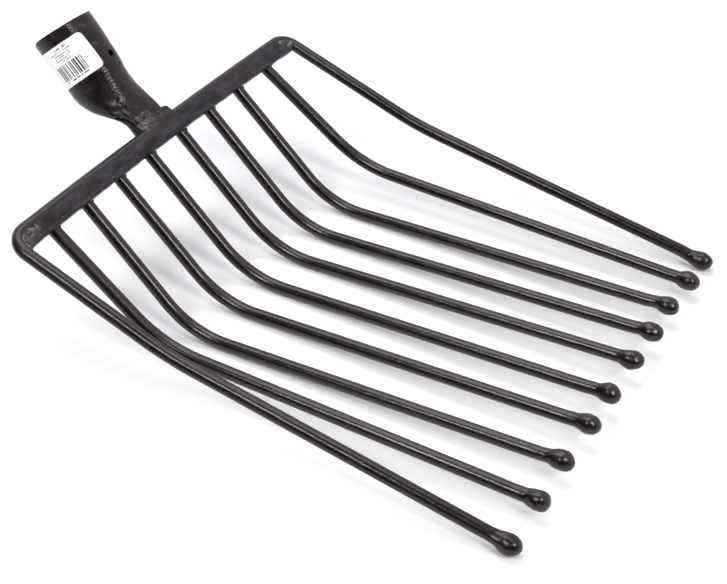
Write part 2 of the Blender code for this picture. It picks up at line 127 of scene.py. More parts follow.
# ---------------------------------------------------------------- shader building
class Graph:
    """Builds a node tree; values may be numbers, tuples or output sockets."""

    def __init__(self, owner):
        owner.use_nodes = True
        self.tree = owner.node_tree
        self.tree.nodes.clear()

    def feed(self, socket, value):
        if isinstance(value, (int, float)):
            socket.default_value = value
        elif isinstance(value, tuple):
            socket.default_value = (*value, 1) if socket.type == "RGBA" else value
        else:
            self.tree.links.new(value, socket)

    def outputs(self, kind, inputs=None, **settings):
        node = self.tree.nodes.new("ShaderNode" + kind)
        for name, value in settings.items():
            setattr(node, name, value)
        for key, value in (inputs or {}).items():
            self.feed(node.inputs[key], value)
        return node.outputs

    def add(self, kind, inputs=None, output=0, **settings):
        return self.outputs(kind, inputs, **settings)[output]

    def math(self, operation, *values, clamp=False):
        return self.add("Math", dict(enumerate(values)), operation=operation, use_clamp=clamp)

    def coords(self, output="Object"):
        return self.add("TexCoord", output=output)

    def noise(self, coords, scale, detail=4, rough=0.55, distortion=0.0):
        return self.add("TexNoise", {"Scale": scale, "Detail": detail, "Roughness": rough,
                                     "Distortion": distortion, "Vector": coords}, "Fac")

    def ramp(self, factor, *stops):
        color = self.add("ValToRGB", {"Fac": factor}, "Color")
        elements = color.node.color_ramp.elements
        while len(elements) < len(stops):
            elements.new(0.5)
        for element, (position, rgb) in zip(elements, stops):
            element.position = position
            element.color = (*rgb, 1)
        return color

    def remap(self, value, to, source=(0.0, 1.0)):
        return self.add("MapRange", {"From Min": source[0], "From Max": source[1],
                                     "To Min": to[0], "To Max": to[1], "Value": value}, "Result")

    def mix_color(self, factor, a, b):
        return self.add("Mix", {0: factor, 6: a, 7: b}, 2, data_type="RGBA")

    def mix_value(self, factor, a, b):
        return self.add("Mix", {0: factor, 2: a, 3: b})

    def bump(self, height, strength, distance, normal=None):
        inputs = {"Strength": strength, "Distance": distance, "Height": height}
        if normal:
            inputs["Normal"] = normal
        return self.add("Bump", inputs, "Normal")


def new_material(name, build):
    """Makes a material; build(graph) returns the surface shader's inputs."""
    material = bpy.data.materials.new(name)
    graph = Graph(material)
    surface = graph.add("BsdfPrincipled", build(graph), "BSDF")
    graph.outputs("OutputMaterial", {"Surface": surface})
    return material


# ---------------------------------------------------------------- painted steel
# where the coats change, as world Y in metres
HEADER_COAT_Y = (-0.114, -0.045)
BALL_COAT_Y = (0.188, 0.197)
# painted highlight: light grey standing in for the light caught at the socket mouth's left end
PAINTED_HIGHLIGHT_GREY = (0.42, 0.42, 0.44)


def paint(name, dark, light, rough, bumps, tint, tint_amount=0.35, grain=0.0, header=None,
          worn=None, spec=0.5, tips=None, spread=(0.32, 0.68), stretch=1.0):
    """Painted steel: two mottled tones, a brown tint in patches, uneven gloss and texture.

    spread     noise values where the dark and light tones are reached
    stretch    scale of the mottling along X
    bumps      rows of noise scale, strength, depth in metres, detail
    grain      strength of the fine lines drawn along a bar
    header     colour and roughness of a duller coat near the header
    worn       point and radius, in metres, of a painted highlight: a light grey patch
    tips       roughness of the ball ends
    """
    def build(graph):
        coords = graph.coords()
        patches = graph.noise(coords, 26, detail=3)
        drawn = graph.add("VectorMath", {0: coords, 1: (stretch, 1.0, 1.0)}, operation="MULTIPLY")
        mottle = graph.noise(drawn, 140, detail=5, rough=0.6, distortion=0.4)
        fine = graph.noise(coords, 900, detail=4, rough=0.6)
        color = graph.ramp(mottle, (spread[0], dark), (spread[1], light))
        patch = graph.ramp(patches, (0.45, (0, 0, 0)), (0.68, (tint_amount,) * 3))
        color = graph.mix_color(patch, color, tint)
        speck = graph.ramp(fine, (0.68, (0, 0, 0)), (0.78, (0.3, 0.3, 0.3)))
        color = graph.mix_color(speck, color, tuple(min(1, c * 2.0 + 0.006) for c in light))

        def mottled(low, high):
            return graph.remap(mottle, to=(low, high), source=(0.3, 0.7))

        def world_y():
            return graph.add("SeparateXYZ", {0: coords}, "Y")

        gloss = graph.math("MULTIPLY_ADD", fine, 0.06, mottled(*rough))
        if header:
            near = graph.remap(world_y(), to=(1.0, 0.0), source=HEADER_COAT_Y)
            near = graph.math("MULTIPLY_ADD", mottled(-0.25, 0.25), near, near, clamp=True)
            color = graph.mix_color(near, color, header[0])
            gloss = graph.mix_value(near, gloss, header[1])
        if tips:
            at_ball = graph.remap(world_y(), to=(0.0, 1.0), source=BALL_COAT_Y)
            gloss = graph.mix_value(at_ball, gloss, tips)
        # painted highlight: a light grey patch round the given point, mottled at its border
        if worn:
            centre, radius = worn
            away = graph.add("VectorMath", {0: coords, 1: centre}, "Value", operation="DISTANCE")
            close = graph.remap(away, to=(1.0, 0.0), source=(radius * 0.5, radius))
            painted_highlight = graph.math("MULTIPLY_ADD", close, 1.0, mottled(-0.45, 0.1), clamp=True)
            color = graph.mix_color(painted_highlight, color, PAINTED_HIGHLIGHT_GREY)

        normal = None
        if grain:
            lines = graph.add("Attribute", output="Vector", attribute_name="grain")
            height = graph.noise(lines, 1.1, detail=3, rough=0.6)
            normal = graph.bump(height, strength=grain, distance=0.00012)
        for scale, strength, depth, detail in bumps:
            height = graph.noise(coords, scale, detail, rough=0.5)
            normal = graph.bump(height, strength, depth, normal)
        return {"Base Color": color, "Roughness": gloss, "Specular IOR Level": spec,
                "Specular Tint": (1.0, 0.93, 0.965), "Normal": normal}
    return new_material(name, build)


ROD_PAINT = dict(
    dark=(0.0040, 0.0027, 0.0034), light=(0.0100, 0.0072, 0.0088), rough=(0.14, 0.24),
    bumps=((150, 0.10, 0.0010, 2), (1100, 0.16, 0.00016, 3)),
    tint=(0.013, 0.0068, 0.0060), grain=0.5, tips=0.24)
MAT_ROD = paint("dipped_black_paint", **ROD_PAINT)
MAT_FRAME = paint("frame_black_paint", **ROD_PAINT,
                  header=((0.0095, 0.0080, 0.0102), 0.31), spec=0.40)
MAT_HEADER = paint(
    "header_black_paint",
    dark=(0.0030, 0.0030, 0.0048), light=(0.0250, 0.0238, 0.0310), rough=(0.26, 0.46),
    bumps=((55, 0.45, 0.0030, 3), (160, 0.45, 0.0014, 4), (900, 0.25, 0.0002, 4)),
    tint=(0.024, 0.0145, 0.0125), tint_amount=0.3, spec=0.27, spread=(0.40, 0.62), stretch=0.4)
MAT_FILL = paint(
    "dressed_weld_paint",
    dark=(0.0050, 0.0047, 0.0064), light=(0.0220, 0.0206, 0.0260), rough=(0.13, 0.30),
    bumps=((110, 0.30, 0.0020, 2), (700, 0.10, 0.00016, 2)),
    tint=(0.028, 0.019, 0.017), tint_amount=0.3, spec=0.7)
# the light grey patch given by worn, at the mouth's left end, is a painted highlight
MAT_SOCKET = paint(
    "socket_black_paint",
    dark=(0.0060, 0.0046, 0.0060), light=(0.0140, 0.0116, 0.0136), rough=(0.18, 0.30),
    bumps=((90, 0.22, 0.0014, 3), (900, 0.16, 0.0002, 4)),
    tint=(0.022, 0.0120, 0.0100), worn=((0.0212, -0.2082, 0.1262), 0.007), spec=0.29)
MAT_WELD = paint(
    "painted_weld_bead",
    dark=(0.0050, 0.0044, 0.0048), light=(0.0230, 0.0205, 0.0165), rough=(0.17, 0.32),
    bumps=((120, 0.25, 0.0018, 2), (700, 0.10, 0.00016, 2)),
    tint=(0.034, 0.030, 0.018), tint_amount=0.7, spec=0.55)
MAT_BEAD = paint(
    "seam_bead_paint",
    dark=(0.0055, 0.0050, 0.0058), light=(0.0200, 0.0185, 0.0200), rough=(0.10, 0.18),
    bumps=((160, 0.15, 0.0010, 1),),
    tint=(0.022, 0.016, 0.013), tint_amount=0.3, spec=1.0)


# ---------------------------------------------------------------- sticker material
# rows of marks, mm: from, to along the socket; from, to round it; dash length;
# share of gaps; strength. The first row is the red heading.
STICKER_ROWS = (
    (1.7, 3.0, 12.5, 22.5, 0.9, 0.30, 0.80),
    (3.9, 4.8, 10.5, 27.5, 0.8, 0.40, 0.65),
    (5.5, 6.3, 10.5, 25.0, 0.9, 0.45, 0.60),
    (7.0, 7.8, 10.5, 28.5, 0.8, 0.45, 0.65),
    (8.5, 9.3, 10.5, 26.0, 0.9, 0.45, 0.60),
    (10.0, 10.8, 10.5, 21.0, 1.0, 0.40, 0.60),
    (12.0, 22.2, 9.0, 30.2, 0.52, 0.47, 1.0),
    (23.0, 24.0, 10.0, 29.0, 0.7, 0.40, 0.85),
)
BAR_ROW = 6         # this row is a block of bars instead of dashes


def white_film(graph):
    """White film with rows of grey dashes and a block of plain bars that encode nothing."""
    calc = graph.math
    uv = graph.add("UVMap", output="UV", uv_map="UVMap")
    split = graph.outputs("SeparateXYZ", {0: uv})
    # both in millimetres: round the socket, and along it from the edge nearest the mouth
    across, down = split["X"], split["Y"]

    def window(value, low, high):
        return calc("MULTIPLY", calc("GREATER_THAN", value, low), calc("LESS_THAN", value, high))

    def dashes(row, length, gaps):
        cell = calc("FLOOR", calc("DIVIDE", across, length))
        spot = graph.add("CombineXYZ", {0: cell, 1: float(row)})
        value = graph.add("TexWhiteNoise", {"Vector": spot}, "Value", noise_dimensions="2D")
        return calc("GREATER_THAN", value, gaps)

    def bars():
        broad = calc("SINE", calc("MULTIPLY", across, 3.7))
        middle = calc("SINE", calc("MULTIPLY_ADD", across, 2.13, 1.0))
        narrow = calc("MULTIPLY", calc("SINE", calc("MULTIPLY", across, 6.1)), 0.5)
        wave = calc("ADD", broad, calc("MULTIPLY_ADD", middle, 0.7, narrow))
        return calc("GREATER_THAN", wave, -0.1)

    marks = []
    for k, (top, bottom, start, end, length, gaps, strength) in enumerate(STICKER_ROWS):
        mark = calc("MULTIPLY", window(down, top, bottom), window(across, start, end))
        mark = calc("MULTIPLY", mark, bars() if k == BAR_ROW else dashes(k, length, gaps))
        marks.append(calc("MULTIPLY", mark, strength))
    heading, text, *others = marks
    for mark in others:
        text = calc("MAXIMUM", text, mark)

    fibre = graph.noise(graph.coords(), 300, detail=4)
    color = graph.ramp(fibre, (0.3, (0.80, 0.80, 0.80)), (0.7, (0.90, 0.90, 0.89)))
    color = graph.mix_color(text, color, (0.030, 0.026, 0.032))
    color = graph.mix_color(heading, color, (0.30, 0.06, 0.05))
    waves = graph.noise(graph.coords(), 120, detail=2)
    return {"Base Color": color, "Roughness": graph.remap(fibre, to=(0.35, 0.5)),
            "Normal": graph.bump(waves, strength=0.15, distance=0.0003)}


MAT_STICKER = new_material("white_film_sticker", white_film)


# ---------------------------------------------------------------- mesh building
def add_object(name, data):
    obj = bpy.data.objects.new(name, data)
    bpy.context.scene.collection.objects.link(obj)
    return obj


def make(name, verts, faces, material, nodes, uv=None):
    """A smooth-shaded piece from millimetre points, standing in for the named CAD nodes."""
    mesh = bpy.data.meshes.new(name)
    mesh.from_pydata([tuple(v) for v in verts], [], faces)
    mesh.transform(WORLD)
    mesh.materials.append(material)
    for polygon in mesh.polygons:
        polygon.use_smooth = True
    if uv:
        layer = mesh.uv_layers.new(name="UVMap")
        for loop in mesh.loops:
            layer.data[loop.index].uv = uv[loop.vertex_index]
    bm = bmesh.new()
    bm.from_mesh(mesh)
    bmesh.ops.recalc_face_normals(bm, faces=bm.faces)
    bm.to_mesh(mesh)
    bm.free()
    obj = add_object(name, mesh)
    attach(obj, "root")
    if nodes:
        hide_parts(*nodes)
    return obj


def sharpen(obj, deg):
    """Smooth shading, with edges steeper than deg kept sharp."""
    bm = bmesh.new()
    bm.from_mesh(obj.data)
    for edge in bm.edges:
        if len(edge.link_faces) == 2 and edge.calc_face_angle(0) > math.radians(deg):
            edge.smooth = False
    for face in bm.faces:
        face.smooth = True
    bm.to_mesh(obj.data)
    bm.free()


def ring_faces(rings, sides, start=0):
    """Quads joining closed rings of points."""
    faces = []
    for i in range(rings - 1):
        here = start + i * sides
        after = here + sides
        for j in range(sides):
            k = (j + 1) % sides
            faces.append((here + j, here + k, after + k, after + j))
    return faces


def sweep_faces(rings, sides):
    """Closed rings with a flat cap on each end."""
    return ring_faces(rings, sides) + [tuple(range(sides)),
                                       tuple(range((rings - 1) * sides, rings * sides))]


def slab(name, top, low, rows, columns, material, nodes, slot="painted_weld", uv=None):
    """A closed sheet between two grids of (rows + 1) x (columns + 1) points."""
    m, w = len(top), columns + 1
    faces = []
    for i in range(rows):
        for j in range(columns):
            k = i * w + j
            faces.append((k, k + 1, k + w + 1, k + w))
            faces.append((m + k, m + k + w, m + k + w + 1, m + k + 1))
    for i in range(rows):
        for j in (0, columns):
            k = i * w + j
            faces.append((k, k + w, m + k + w, m + k))
    for j in range(columns):
        for i in (0, rows):
            k = i * w + j
            faces.append((k, k + 1, m + k + 1, m + k))
    return make(name, top + low, faces, material, nodes, uv)


def frames(path, up):
    """Tangent, normal and binormal per point; up is a hint, or None to carry the first along."""
    result = []
    hint = up
    for i in range(len(path)):
        tangent = (path[min(i + 1, len(path) - 1)] - path[max(i - 1, 0)]).normalized()
        if hint is None:
            hint = UP if abs(tangent.z) < 0.9 else Vector((1, 0, 0))
        normal = (hint - tangent * tangent.dot(hint)).normalized()
        result.append((tangent, normal, tangent.cross(normal)))
        if up is None:
            hint = normal
    return result


def run_lengths(path):
    """Distance along a polyline at each of its points."""
    return list(accumulate(((b - a).length for a, b in zip(path, path[1:])), initial=0.0))


def tube(name, path, radii, material, nodes, sides, shape, up=None):
    """A closed round bar; shape(i, angle) adds to the radius at point i."""
    axes = frames(path, up)
    angles = [2 * math.pi * j / sides for j in range(sides)]
    verts = []
    for i, (point, radius, (_, normal, across)) in enumerate(zip(path, radii, axes)):
        for a in angles:
            r = radius + shape(i, a)
            verts.append(point + (normal * math.cos(a) + across * math.sin(a)) * r)
    verts += [path[0] - axes[0][0] * min(0.3, radii[0] * 0.3),
              path[-1] + axes[-1][0] * min(0.3, radii[-1] * 0.3)]
    faces = ring_faces(len(path), sides)
    start, end = len(verts) - 2, len(verts) - 1
    last = (len(path) - 1) * sides
    for j in range(sides):
        k = (j + 1) % sides
        faces.append((start, k, j))
        faces.append((end, last + j, last + k))
    obj = make(name, verts, faces, material, nodes)

    # coordinates for the drawn grain: across the bar in mm, and strongly stretched along it
    grain = obj.data.attributes.new("grain", "FLOAT_VECTOR", "POINT")
    runs = [run * 0.06 for run in run_lengths(path)]
    for i, (radius, run) in enumerate(zip(radii, runs)):
        for j, a in enumerate(angles):
            vector = (radius * math.cos(a), radius * math.sin(a), run)
            grain.data[i * sides + j].vector = vector
    grain.data[start].vector = (0.0, 0.0, 0.0)
    grain.data[end].vector = (0.0, 0.0, runs[-1])
    return obj


def resample(points, step):
    """Evenly spaced points along a polyline, keeping its ends."""
    length = run_lengths(points)[-1]
    count = max(2, round(length / step))
    spacing = length / count
    result = [points[0]]
    run = 0.0
    wanted = spacing
    for a, b in zip(points, points[1:]):
        segment = (b - a).length
        while run + segment >= wanted - 1e-9 and len(result) < count:
            result.append(a + (b - a) * ((wanted - run) / segment))
            wanted += spacing
        run += segment
    result.append(points[-1])
    return result


def fillet(start, corner, end, radius, count):
    """The line start-corner-end with its corner rounded by an arc of count steps."""
    u, v = (start - corner).normalized(), (end - corner).normalized()
    half = u.angle(v) / 2
    reach = radius / math.tan(half)
    centre = corner + (u + v).normalized() * (radius / math.sin(half))
    first = (corner + u * reach - centre).normalized()
    last = (corner + v * reach - centre).normalized()
    sweep = first.angle(last)
    square = (last - first * first.dot(last)).normalized()
    arc = [centre + (first * math.cos(sweep * i / count)
                     + square * math.sin(sweep * i / count)) * radius for i in range(count + 1)]
    return [start] + arc + [end]


# ---------------------------------------------------------------- tines with ball ends
# largest radius, half length ahead, length of the swell behind, sideways push, its angle
Ball = namedtuple("Ball", "radius ahead behind push push_deg")
# by tine number: 1 is the outer tine on the -X side, 10 the one on the +X side
BALLS = {
    1: Ball(5.95, 6.9, 10.6, 0.4, 200), 2: Ball(6.1, 7.0, 9.3, 0.4, 20),
    3: Ball(5.95, 6.8, 9.0, 0.35, 330), 4: Ball(5.95, 6.9, 9.0, 0.4, 10),
    5: Ball(6.0, 7.0, 9.4, 0.4, 60), 6: Ball(6.0, 6.8, 9.0, 0.35, 300),
    7: Ball(5.95, 6.9, 9.0, 0.4, 30), 8: Ball(5.9, 6.8, 10.4, 0.7, 20),
    9: Ball(6.0, 5.8, 10.0, 0.4, 20), 10: Ball(6.0, 7.1, 10.4, 0.3, 210),
}
# latitudes, in degrees, of the rings on the ball's front half
BALL_LATITUDES = (0, 8, 16, 24, 32, 40, 48, 56, 63, 70, 76, 81, 85, 88)
SWELL_RINGS = 22
SWELL_BLEND = 7     # exponent that melts the swell into the rod


def ball_profile(d, ball):
    """Radius at d beyond the ball's centre."""
    if d >= 0:
        return ball.radius * math.sqrt(max(0.0, 1 - (d / ball.ahead) ** 2))
    swell = ball.radius * math.sqrt(max(0.0, 1 - (d / ball.behind) ** 2))
    return (ROD_R ** SWELL_BLEND + swell ** SWELL_BLEND) ** (1 / SWELL_BLEND)


def add_ball(path, number):
    """Extends a centreline over its ball: path, radii and the index where the swell begins."""
    ball = BALLS[number]
    tip = path[-1]
    axis = (path[-1] - path[-2]).normalized()
    body = [p for p in path if (p - tip).length > ball.behind + 4]
    stations = [-(ball.behind + 3) * (1 - i / SWELL_RINGS) for i in range(SWELL_RINGS)]
    stations += [ball.ahead * math.sin(math.radians(lat)) for lat in BALL_LATITUDES]
    radii = [ROD_R] * len(body) + [ball_profile(d, ball) for d in stations]
    return body + [tip + axis * d for d in stations], radii, len(body)


def ball_shape(number, start, path):
    """Slight waves along the rod, and the ball's own push and dimples."""
    push, phase = BALLS[number].push, math.radians(BALLS[number].push_deg)
    tip = path[-1]

    def shape(i, a):
        p = path[i]
        d = (p - tip).length
        near = smooth((26 - d) / 14) * (1 if i >= start else 0)
        lump = push * math.cos(a - phase) * near * smooth(d / 6)
        wave = 0.06 * noise_at(p.x * 0.11 + number * 9.3, p.y * 0.11,
                               3 * math.cos(a) + p.z * 0.11)
        q = Vector((p.x + 5 * math.sin(a), p.y, p.z + 5 * math.cos(a)))
        dimple = (0.55 * noise_at(q.x * 0.14, q.y * 0.14 + number * 3.1, q.z * 0.14)
                  + 0.28 * noise_at(q.x * 0.28, q.y * 0.28 + number, q.z * 0.28)) * near
        return lump + wave + dimple
    return shape


def tine_number(pair, side):
    return 6 + pair if side > 0 else 5 - pair


def inner_tine(pair, side):
    number = tine_number(pair, side)
    root, bend, _, tip = INNER_TINES[pair]
    root, bend, tip = (on_side(point, side) for point in (root, bend, tip))
    set_in = 14.0 if pair < 3 else 19.5      # the bar starts this far from its root point
    start = root + (bend - root).normalized() * set_in
    path = resample(fillet(start, bend, tip, INNER_TINES[pair][2], count=24), step=3.0)
    path, radii, swell = add_ball(path, number)
    tube("steel_tine_%d" % number, path, radii, MAT_ROD, ("tine_%d" % number,),
         sides=32, up=UP, shape=ball_shape(number, swell, path))


def corner_start(side):
    """Distance from the middle where the frame rod begins to turn."""
    return OUTER_X - CORNER_R[side]


def frame_half(side, number):
    """Half of the bent rod, from the middle of the header out to its ball."""
    r = CORNER_R[side]
    cx = corner_start(side)
    half = [HEADER + Vector((cx * i / 6, 0, 0)) + LEG_DIR * bow(cx * i / 6) for i in range(7)]
    for i in range(1, 17):
        t = math.pi / 2 * i / 16
        half.append(HEADER + Vector((cx + r * math.sin(t), 0, 0))
                    + LEG_DIR * (bow(cx) + r * (1 - math.cos(t))))
    half += fillet(half[-1], Vector(OUTER_BEND), Vector(OUTER_TIP), OUTER_BEND_RADIUS, 20)[1:]
    path, radii, swell = add_ball(resample(half, step=2.5), number)
    path = [on_side(point, side) for point in path]
    return path, radii, ball_shape(number, swell, path)


def frame_rod():
    """One bent rod: the back leg of the header and both outer tines."""
    path_a, radii_a, shape_a = frame_half(1, 10)
    path_b, radii_b, shape_b = frame_half(-1, 1)
    middle = len(path_b) - 1

    def shape(i, a):
        return shape_a(i - middle, a) if i >= middle else shape_b(middle - i, a)
    tube("bent_frame_rod", path_b[:0:-1] + path_a, radii_b[:0:-1] + radii_a, MAT_FRAME,
         ("frame_rod",), sides=36, up=UP, shape=shape)


# ---------------------------------------------------------------- header strip
STRIP_END = OUTER_X - ROD_R - 0.2
EDGE_TOP_R, EDGE_BOTTOM_R = 0.9, 0.6        # rounds on the front edge


def strip_corner_radius(side):
    return CORNER_R[side] - ROD_R + 0.35


def strip_back_edge(x, side):
    """Back edge of the strip: it rounds off at the ends to follow the frame rod's corner."""
    corner = strip_corner_radius(side)
    cx = corner_start(side)
    u = abs(x) - cx
    if u <= 0:
        return STRIP_BACK + bow(x)
    return STRIP_BACK + bow(cx) + corner - math.sqrt(max(0.0, corner ** 2 - u * u))


def surface_lumps(x, ahead):
    return 0.28 * noise_at(x * 0.05, ahead * 0.16, 1.7) + 0.14 * noise_at(x * 0.2, ahead * 0.4, 5.2)


def strip_stations():
    """Section places along X: even between the corners, then following each corner's arc."""
    stations = []
    limit = STRIP_FRONT + STRIP_FLARE + bow(STRIP_END) - 0.3
    for side in (-1, 1):
        cx = corner_start(side)
        corner = strip_corner_radius(side)
        half = [cx * i / 70 for i in range(70)]
        for i in range(13):
            t = math.radians(88 * i / 12)
            x = cx + corner * math.sin(t)
            back = STRIP_BACK + bow(cx) + corner * (1 - math.cos(t))
            if back < limit - 0.4 and x < STRIP_END:
                half.append(x)
        stations += [side * x for x in half if not (side == 1 and x == 0)]
    return sorted(set(stations))


def strip_section(x):
    """Outline of the strip at x: points (ahead, height)."""
    back = strip_back_edge(x, 1 if x >= 0 else -1)
    front = strip_front(x)
    front += 0.30 * noise_at(x * 0.09, 3.1, 0) + 0.22 * noise_at(x * 0.33, 7.7, 0)
    e = EDGE_TOP_R
    ring = [(back, STRIP_BOTTOM), (back, STRIP_TOP - 0.9), (back + 0.3, STRIP_TOP - 0.55)]
    for k in range(1, 7):
        ahead = back + 0.25 + (front - e - back - 0.25) * k / 7
        # the back of the top face lies lower, under the groove weld
        low = 0.5 * (1 - smooth((ahead - bow(x) - 6.0) / 2.2)) if abs(x) < 132 else 0.0
        ring.append((ahead, STRIP_TOP - low + surface_lumps(x, ahead - bow(x))))
    edge = STRIP_TOP + 0.14 * noise_at(x * 0.06, 4.2, 2.2)
    for k in range(5):
        t = math.radians(90 - 90 * k / 4)
        ring.append((front - e + e * math.cos(t), edge - e + e * math.sin(t)))
    e = EDGE_BOTTOM_R
    for k in range(4):
        t = math.radians(-90 * k / 3)
        ring.append((front - e + e * math.cos(t), STRIP_BOTTOM + e + e * math.sin(t)))
    return ring


def header_strip():
    stations = strip_stations()
    sections = [strip_section(x) for x in stations]
    verts = [header_point(x, *point) for x, ring in zip(stations, sections) for point in ring]
    make("header_strip", verts, sweep_faces(len(stations), len(sections[0])), MAT_HEADER,
         ("cross_strip",))


# ---------------------------------------------------------------- groove weld
GROOVE_END = OUTER_X - 12.0
GROOVE_BACK, GROOVE_FRONT = -1.3, 8.5


def groove_section(x):
    """Outline of the weld at x: points (ahead, height), lying on the rod and the strip."""
    ring = []
    for k in range(19):
        a = GROOVE_BACK + 9.8 * k / 18
        rod_top = math.sqrt(ROD_R ** 2 - a * a) if abs(a) < ROD_R else 0.0
        body = smooth((a - GROOVE_BACK) / 2.4) * smooth((GROOVE_FRONT - a) / 2.6)
        ripple = 0.045 * math.sin(x * 1.7 + 0.6 * math.sin(x * 0.31) + 0.28 * (a - 3) ** 2)
        ripple *= smooth((6.0 - a) / 2.0)
        h = (rod_top if a < 0 else STRIP_TOP) + surface_lumps(x, a) * smooth((a + 0.8) / 2)
        h += (0.17 + ripple + 0.14 * noise_at(x * 0.09, a * 0.2, 9.4)) * body - 0.07
        ring.append((a, max(h, rod_top - 0.05) if a < 2.5 else h))
    return ring + [(8.4, 3.2), (4.6, 2.2), (-0.6, 3.0)]


def groove_weld():
    """The long weld that fills the groove between the back leg and the strip, almost flush."""
    stations = [-GROOVE_END + 2 * GROOVE_END * i / 360 for i in range(361)]
    verts = []
    for x in stations:
        ring = groove_section(x)
        for ahead, height in ring:
            verts.append(HEADER + Vector((x, 0, 0)) + LEG_DIR * bow(x) + STRIP_DIR * ahead
                         + STRIP_UP * height)
    make("groove_weld", verts, sweep_faces(len(stations), len(ring)), MAT_HEADER,
         ("strip_weld",))


# ---------------------------------------------------------------- weld beads
def bead(name, points, radius, nodes, lump, pitch, seed, sides=20, step=0.5, taper=1.6,
         material=MAT_WELD, scallop=0.10, lump_scale=0.45, knob=0.0):
    """A hand-laid bead: overlapping ripples, uneven width and rounded ends.

    pitch and scallop are the ripples' length and share of the radius, lump and lump_scale the
    unevenness and its fineness, taper the rounded end's length, knob a swelling near the end."""
    path = resample(points, step)
    runs = run_lengths(path)
    length = runs[-1]
    radii = []
    for s in runs:
        end = math.sqrt(max(0.02, min(1.0, min(s, length - s) / taper + 0.02)))
        width = 1 + 0.22 * noise_at(s * 0.35, seed, 1.3)
        last = bell(length - s - 3.6, 3.0)
        ripple = scallop * (abs(math.sin(math.pi * s / pitch + seed)) - 0.5)
        ripple = ripple * (1 - last if knob else 1) + knob * last
        radii.append(radius * (end * width + ripple * end))

    def shape(i, a):
        q = path[i]
        f = lump_scale
        return radius * lump * noise_at(q.x * f + seed, q.y * f + math.sin(a) * 2 * f,
                                        q.z * f + math.cos(a) * 2 * f)
    return tube(name, path, radii, material, nodes, sides, shape)


def tine_weld(pair, side):
    """A bead over the tine where it meets the strip's front, with a short tail toward -X."""
    number = tine_number(pair, side)
    root = on_side(INNER_TINES[pair][0], side)
    bend = on_side(INNER_TINES[pair][1], side)
    d = (bend - root).normalized()
    face = strip_front(root.x) + 0.15
    centre = root + d * ((face + HEADER.dot(STRIP_DIR) - root.dot(STRIP_DIR)) / d.dot(STRIP_DIR))
    reach = ROD_R + 0.15
    rise = reach / d.dot(STRIP_DIR)
    seed = number * 2.7
    points = []
    for i in range(13):
        t = math.radians(24 - 112 * i / 12)
        points.append(centre + Vector((reach * math.sin(t), 0, 0)) + STRIP_UP * (rise * math.cos(t))
                      + STRIP_DIR * (0.3 * noise_at(i * 0.3, seed, 0) - 0.35))
    corner = points[-1]
    tail = 0.7 + 3.0 * abs(noise_at(seed, 3.3, 1.1))
    for i in range(1, 6):
        points.append(corner + Vector((-tail * i / 5, 0, 0)) + STRIP_UP * (0.9 * i / 5)
                      - STRIP_DIR * (0.5 * i / 5))
    bead("tine_root_weld_%d" % number, points, 0.75, ("tine_weld_%d" % number,), lump=0.6,
         pitch=2.1, seed=seed, sides=16, step=0.45, taper=2.2,
         material=MAT_HEADER if number % 2 else MAT_FILL)


# ---------------------------------------------------------------- corner fills
def corner_fill(name, side, node, seed):
    """A pad of weld between the bent rod's corner and the strip's end, dressed to the rod's top."""
    rows, columns = 40, 16
    lead = 0.75             # the pad starts this far before the corner, as an angle in radians
    r = CORNER_R[side]
    cx = corner_start(side)
    front = STRIP_FRONT + STRIP_FLARE + bow(146) - 0.4
    outer = r - 0.6
    inner = max(0.5, r - 9.5)
    top = []
    for i in range(rows + 1):
        t = -lead + (math.radians(88) + lead) * i / rows
        for j in range(columns + 1):
            f = j / columns     # 0 is just inside the rod's crown, 1 is well onto the strip
            reach = outer - (outer - inner) * f
            if t >= 0:
                x, a = cx + reach * math.sin(t), bow(cx) + r - reach * math.cos(t)
                climb = bow(cx) + r * (1 - math.cos(t))
                rod_lift = climb * math.sin(math.radians(STRIP_SLOPE - LEG_SLOPE))
            else:
                x, a = cx + 12 * t, bow(cx) + r - reach
                rod_lift = 0.0
            a = min(a, front + 4.2 * smooth((t - 0.95) / 0.5) * (1 - f))
            strip = STRIP_TOP + surface_lumps(x, a)
            onto = smooth((f - 0.05) / 0.75)
            h = (rod_lift + 3.75) * (1 - onto) + strip * onto
            body = math.sin(math.pi * (f * 1.05)) ** 0.7 if f < 0.95 else 0.0
            body *= smooth((t + lead) / 0.5) * (1 - 0.6 * smooth((t - 1.3) / 0.24))
            h += body * (0.7 + 2.0 * noise_at(x * 0.22, a * 0.22, seed)
                         + 0.8 * noise_at(x * 0.40, a * 0.40, seed + 3))
            h -= 0.25 * (1 - body)
            top.append(header_point(side * x, a, h))
    low = [v - STRIP_UP * 2.2 for v in top]
    slab(name, top, low, rows, columns, MAT_FILL, (node,))


# ---------------------------------------------------------------- rolled socket
# distance from the mouth, centre y, centre z, tilt of the section in degrees,
# half width along X, half height square to it, exponent of the superellipse
SOCKET_STATIONS = (
    (0.0, -62.7, 50.4, 50.0, 20.8, 20.8, 2.0),
    (22.6, -48.2, 33.0, 50.0, 20.4, 20.4, 2.0),
    (36.0, -39.9, 22.2, 50.0, 20.3, 20.0, 2.0),
    (44.9, -34.9, 15.1, 49.0, 20.0, 18.8, 2.0),
    (52.0, -29.0, 10.9, 47.0, 19.4, 16.4, 2.05),
    (57.5, -23.7, 8.7, 44.0, 18.5, 13.9, 2.15),
    (62.5, -18.0, 7.4, 42.0, 17.3, 11.3, 2.3),
    (68.0, -11.8, 6.0, 42.0, 16.3, 8.4, 2.5),
    (74.0, -6.2, 4.2, 43.0, 15.9, 5.8, 2.8),
    (79.0, -2.0, 1.9, 45.0, 15.8, 4.2, 3.0),
    (84.5, 2.6, -2.2, 47.0, 16.2, 3.7, 3.2),
    (88.5, 5.4, -5.0, 48.0, 16.8, 3.4, 3.4),
)
SOCKET_WALL = 2.3
SEAM_STEP = 1.2             # how far the lapped edge stands proud
